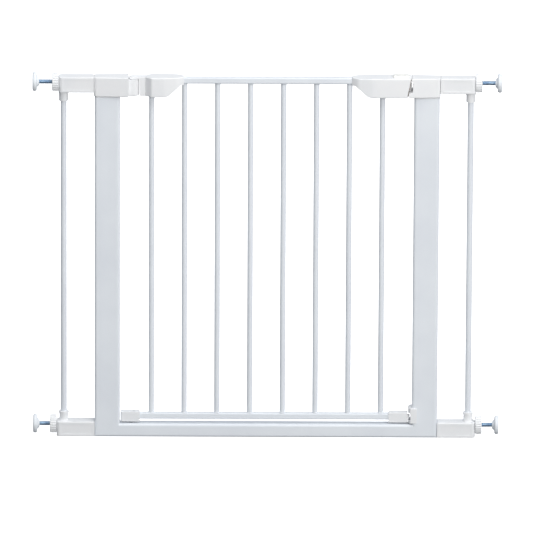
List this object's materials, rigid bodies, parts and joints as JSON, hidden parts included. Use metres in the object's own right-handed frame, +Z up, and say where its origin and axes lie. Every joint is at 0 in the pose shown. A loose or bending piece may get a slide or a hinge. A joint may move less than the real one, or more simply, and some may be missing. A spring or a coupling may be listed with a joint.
{
  "type": "safety gate",
  "caption": "Pressure-fitted barred safety gate with a door that lifts and swings both ways, a thumb latch, side extensions and screw feet.",
  "frame": {"origin": "centre of the footprint, at floor level", "axes": "+X along the gate from the hinge side to the latch side, -Y the front, +Z up"},
  "size_m": [0.922, 0.042, 0.7395],
  "materials": {
    "powder_coat": "white powder coat, fine texture, semi-gloss",
    "moulding_plastic": "white moulded plastic, fine spark texture",
    "button_plastic": "slightly warmer white plastic, smooth",
    "pad_plastic": "white, slightly soft plastic",
    "blue_zinc": "blue passivated zinc plate",
    "steel_pin": "turned steel",
    "spring_steel": "drawn spring wire"
  },
  "bodies": {
    "frame": {"left_upright": "powder_coat", "right_upright": "powder_coat", "bottom_rail": "powder_coat", "upper_hinge_housing": "moulding_plastic", "latch_receiver": "moulding_plastic", "lower_hinge_pin": "steel_pin", "lower_catch": "moulding_plastic", "extension_bar_left": "powder_coat", "extension_bar_right": "powder_coat", "extension_box_upper_left": "moulding_plastic", "bar_collar_upper_left": "moulding_plastic", "extension_box_upper_right": "moulding_plastic", "bar_collar_upper_right": "moulding_plastic", "extension_box_lower_left": "moulding_plastic", "bar_collar_lower_left": "moulding_plastic", "extension_box_lower_right": "moulding_plastic", "bar_collar_lower_right": "moulding_plastic"},
    "hinge_pin": {"upper_hinge_pin": "steel_pin"},
    "door": {"door_top_rail": "powder_coat", "door_bottom_rail": "powder_coat", "door_bar_1": "powder_coat", "door_bar_2": "powder_coat", "door_bar_3": "powder_coat", "door_bar_4": "powder_coat", "door_bar_5": "powder_coat", "door_bar_6": "powder_coat", "door_bar_7": "powder_coat", "door_bar_8": "powder_coat", "upper_hinge_block": "moulding_plastic", "lower_hinge_cap": "moulding_plastic", "lower_latch_cap": "moulding_plastic", "handle_housing": "moulding_plastic", "latch_spring": "spring_steel"},
    "latch": {"latch_bolt": "moulding_plastic", "thumb_button": "button_plastic"},
    "screw_upper_left": {"spindle_upper_left": "blue_zinc", "wall_pad_upper_left": "pad_plastic"},
    "wheel_upper_left": {"adjusting_wheel_upper_left": "moulding_plastic"},
    "screw_upper_right": {"spindle_upper_right": "blue_zinc", "wall_pad_upper_right": "pad_plastic"},
    "wheel_upper_right": {"adjusting_wheel_upper_right": "moulding_plastic"},
    "screw_lower_left": {"spindle_lower_left": "blue_zinc", "wall_pad_lower_left": "pad_plastic"},
    "wheel_lower_left": {"adjusting_wheel_lower_left": "moulding_plastic"},
    "screw_lower_right": {"spindle_lower_right": "blue_zinc", "wall_pad_lower_right": "pad_plastic"},
    "wheel_lower_right": {"adjusting_wheel_lower_right": "moulding_plastic"}
  },
  "joints": [
    {"name": "door_lift", "type": "slide", "parent": "frame", "child": "hinge_pin", "axis": [0, 0, 1], "range_m": [0, 0.005]},
    {"name": "door_swing", "type": "hinge", "parent": "hinge_pin", "child": "door", "pos_m": [-0.2634, 0, 0.7], "axis": [0, 0, 1], "range_deg": [-90, 90]},
    {"name": "thumb_slide", "type": "slide", "parent": "door", "child": "latch", "axis": [-1, 0, 0], "range_m": [0, 0.007], "stiffness_N_per_m": 300, "springref_m": -0.006, "deforming": ["latch_spring"]},
    {"name": "screw_out_upper_left", "type": "slide", "parent": "frame", "child": "screw_upper_left", "axis": [-1, 0, 0], "range_m": [-0.018, 0.02]},
    {"name": "wheel_turn_upper_left", "type": "hinge", "parent": "frame", "child": "wheel_upper_left", "pos_m": [-0.42, 0, 0.7207], "axis": [-1, 0, 0], "range_deg": [-3600, 3240]},
    {"name": "screw_out_upper_right", "type": "slide", "parent": "frame", "child": "screw_upper_right", "axis": [1, 0, 0], "range_m": [-0.018, 0.02]},
    {"name": "wheel_turn_upper_right", "type": "hinge", "parent": "frame", "child": "wheel_upper_right", "pos_m": [0.42, 0, 0.7207], "axis": [1, 0, 0], "range_deg": [-3600, 3240]},
    {"name": "screw_out_lower_left", "type": "slide", "parent": "frame", "child": "screw_lower_left", "axis": [-1, 0, 0], "range_m": [-0.018, 0.02]},
    {"name": "wheel_turn_lower_left", "type": "hinge", "parent": "frame", "child": "wheel_lower_left", "pos_m": [-0.42, 0, 0.0238], "axis": [-1, 0, 0], "range_deg": [-3600, 3240]},
    {"name": "screw_out_lower_right", "type": "slide", "parent": "frame", "child": "screw_lower_right", "axis": [1, 0, 0], "range_m": [-0.018, 0.02]},
    {"name": "wheel_turn_lower_right", "type": "hinge", "parent": "frame", "child": "wheel_lower_right", "pos_m": [0.42, 0, 0.0238], "axis": [1, 0, 0], "range_deg": [-3600, 3240]}
  ],
  "couplings": [
    {"joint": "wheel_turn_upper_left", "follows": "screw_out_upper_left", "rad_per_m": -3141.6},
    {"joint": "wheel_turn_upper_right", "follows": "screw_out_upper_right", "rad_per_m": -3141.6},
    {"joint": "wheel_turn_lower_left", "follows": "screw_out_lower_left", "rad_per_m": -3141.6},
    {"joint": "wheel_turn_lower_right", "follows": "screw_out_lower_right", "rad_per_m": -3141.6}
  ]
}
